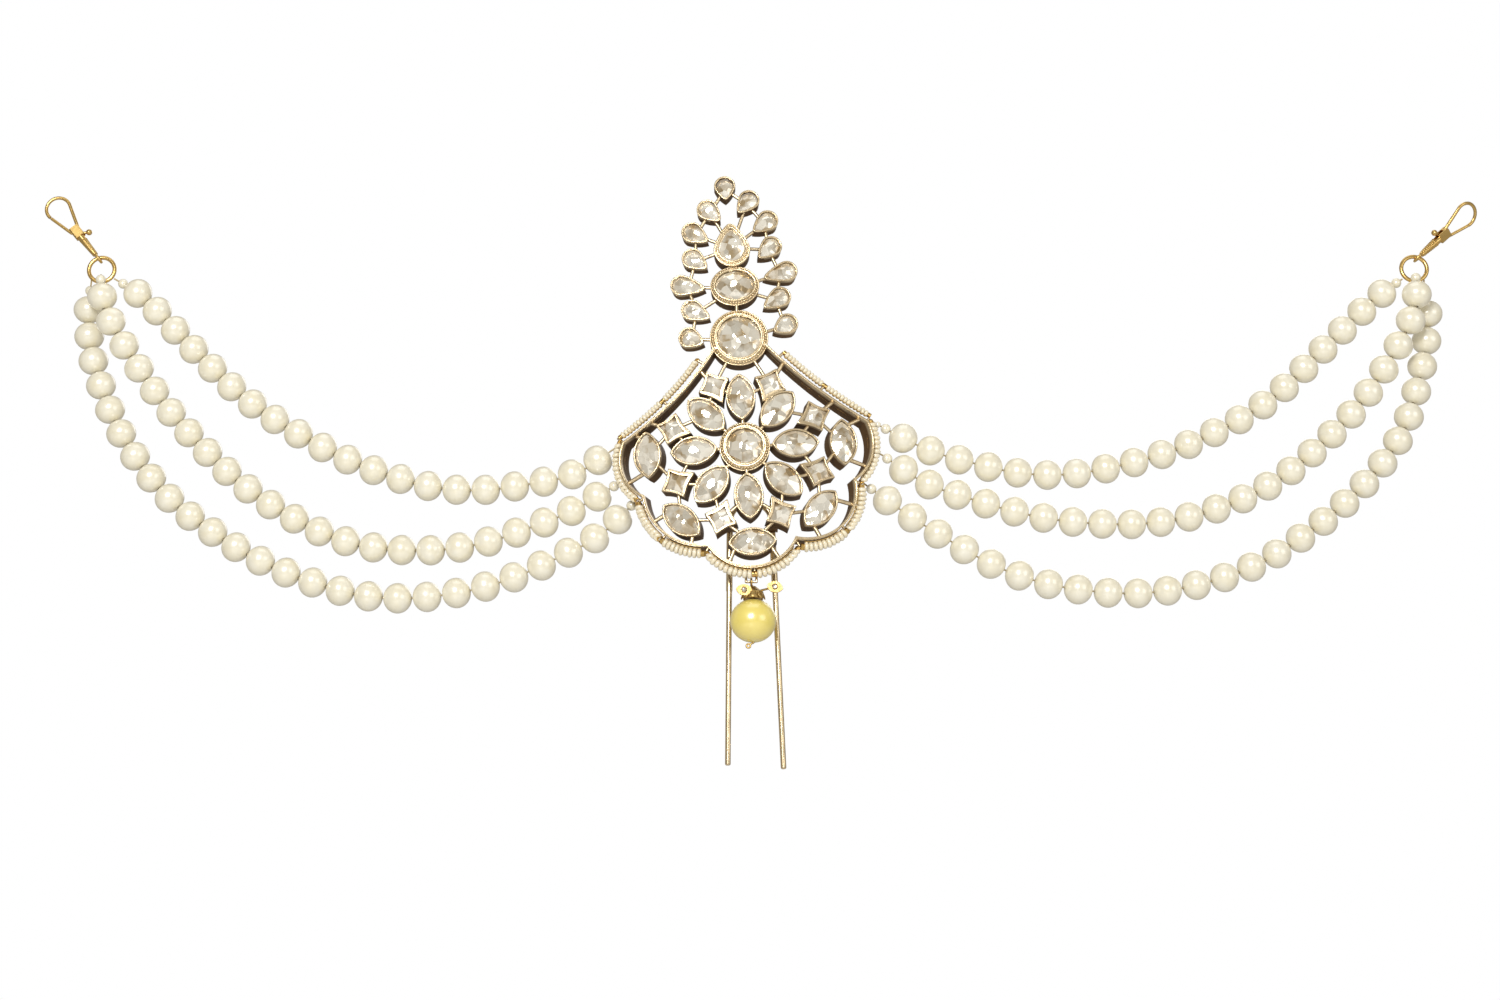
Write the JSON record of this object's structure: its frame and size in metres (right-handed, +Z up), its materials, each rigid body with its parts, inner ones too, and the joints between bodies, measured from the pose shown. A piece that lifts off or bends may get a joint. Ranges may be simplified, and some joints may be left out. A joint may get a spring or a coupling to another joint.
{
  "type": "turban ornament",
  "caption": "Gilded turban ornament: a pierced jewelled plate with a two pronged pin, pearl strings to a snap hook at each side, and a yellow pearl drop.",
  "frame": {"origin": "on the plate's back, midway between the two prongs of the pin and level with the plate's lower edge, where the piece pins on", "axes": "+Z up along the crest, the plate's front looks along -Y, +X towards the string that is on the right when seen from the front"},
  "size_m": [0.4221, 0.036, 0.1723],
  "materials": {
    "antique_gold": "pale antique gilding, darkened in the recesses",
    "gold_wire": "polished yellow gilding",
    "cap_gold": "dark antique gilding",
    "foiled_stone": "pale champagne glass over foil, polished",
    "crystal": "clear polished glass",
    "pearl": "cream lustre",
    "seed_pearl": "ivory lustre",
    "yellow_pearl": "lemon yellow lustre",
    "thread": "twisted silk"
  },
  "bodies": {
    "ornament": {"setting": "antique_gold", "turban_pin": "gold_wire", "seed_border": "seed_pearl", "centre_stone": "foiled_stone", "petal_stone_1": "foiled_stone", "petal_stone_2": "foiled_stone", "petal_stone_3": "foiled_stone", "petal_stone_4": "foiled_stone", "petal_stone_5": "foiled_stone", "petal_stone_6": "foiled_stone", "petal_stone_7": "foiled_stone", "petal_stone_8": "foiled_stone", "square_stone_1": "foiled_stone", "square_stone_2": "foiled_stone", "square_stone_3": "foiled_stone", "square_stone_4": "foiled_stone", "square_stone_5": "foiled_stone", "square_stone_6": "foiled_stone", "square_stone_7": "foiled_stone", "square_stone_8": "foiled_stone", "edge_stone_1": "foiled_stone", "edge_stone_2": "foiled_stone", "edge_stone_3": "foiled_stone", "edge_stone_4": "foiled_stone", "edge_stone_5": "foiled_stone", "crest_stone_1": "foiled_stone", "crest_stone_2": "foiled_stone", "crest_stone_3": "foiled_stone", "leaf_stone_1": "foiled_stone", "leaf_stone_2": "foiled_stone", "leaf_stone_3": "foiled_stone", "leaf_stone_4": "foiled_stone", "leaf_stone_5": "foiled_stone", "leaf_stone_6": "foiled_stone", "leaf_stone_7": "foiled_stone", "leaf_stone_8": "foiled_stone", "leaf_stone_9": "foiled_stone", "leaf_stone_10": "foiled_stone", "leaf_stone_11": "foiled_stone", "leaf_stone_12": "foiled_stone", "leaf_stone_13": "foiled_stone", "left_upper_string": "pearl", "left_middle_string": "pearl", "left_lower_string": "pearl", "right_upper_string": "pearl", "right_middle_string": "pearl", "right_lower_string": "pearl", "left_threads": "thread", "right_threads": "thread", "left_ring": "gold_wire", "right_ring": "gold_wire", "left_hook": "gold_wire", "right_hook": "gold_wire"},
    "drop": {"drop_cap": "cap_gold", "drop_pearl": "yellow_pearl", "drop_crystals": "crystal"},
    "left_gate": {"left_lever": "gold_wire"},
    "right_gate": {"right_lever": "gold_wire"}
  },
  "joints": [
    {"name": "drop_swing", "type": "hinge", "parent": "ornament", "child": "drop", "pos_m": [0.00008, -0.00258, -0.00099], "axis": [-1, 0, 0], "range_deg": [-10, 36]},
    {"name": "left_lever", "type": "hinge", "parent": "ornament", "child": "left_gate", "pos_m": [-0.19768, 0.018, 0.10906], "axis": [0, 1, 0], "range_deg": [0, 12]},
    {"name": "right_lever", "type": "hinge", "parent": "ornament", "child": "right_gate", "pos_m": [0.20304, 0.018, 0.10827], "axis": [0.4301, -0.766, -0.4777], "range_deg": [0, 12]}
  ]
}
